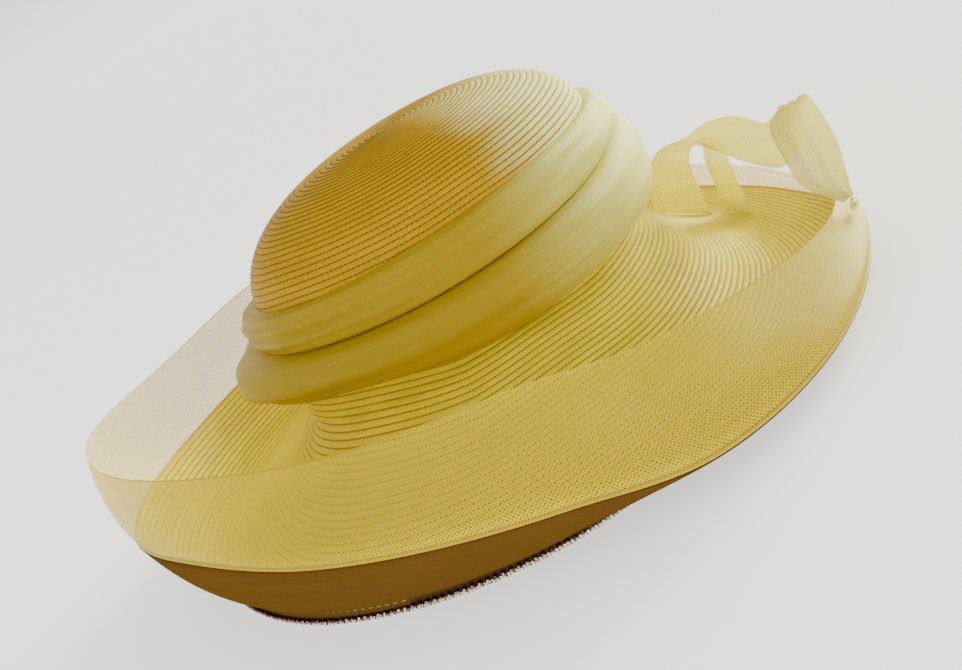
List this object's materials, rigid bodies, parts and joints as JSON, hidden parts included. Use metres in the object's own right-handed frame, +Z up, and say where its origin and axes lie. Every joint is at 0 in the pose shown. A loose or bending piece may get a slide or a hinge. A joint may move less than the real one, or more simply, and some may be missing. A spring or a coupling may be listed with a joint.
{
  "type": "church hat",
  "caption": "Wide dress hat with a sewn-braid crown and bell brim, a sheer turned-up flange, a wound drape, a ribbon bow and a chain of stones.",
  "frame": {"origin": "centre of the hat's outline on the surface that it rests on", "axes": "+Z up towards the crown's top, -Y towards the side that dips, -X towards the side whose brim turns up most"},
  "size_m": [0.403, 0.4148, 0.154],
  "materials": {
    "braid": "satin",
    "sheer": "satin",
    "ribbon": "satin",
    "stones": "gloss"
  },
  "bodies": {
    "root": {"crown": "braid", "brim": "braid", "brim_flange": "sheer", "upper_drape": "sheer", "lower_drape": "sheer", "bow_knot": "ribbon", "bow_ribbon": "ribbon", "bow_tail": "ribbon", "rhinestone_chain": "stones"}
  },
  "joints": []
}
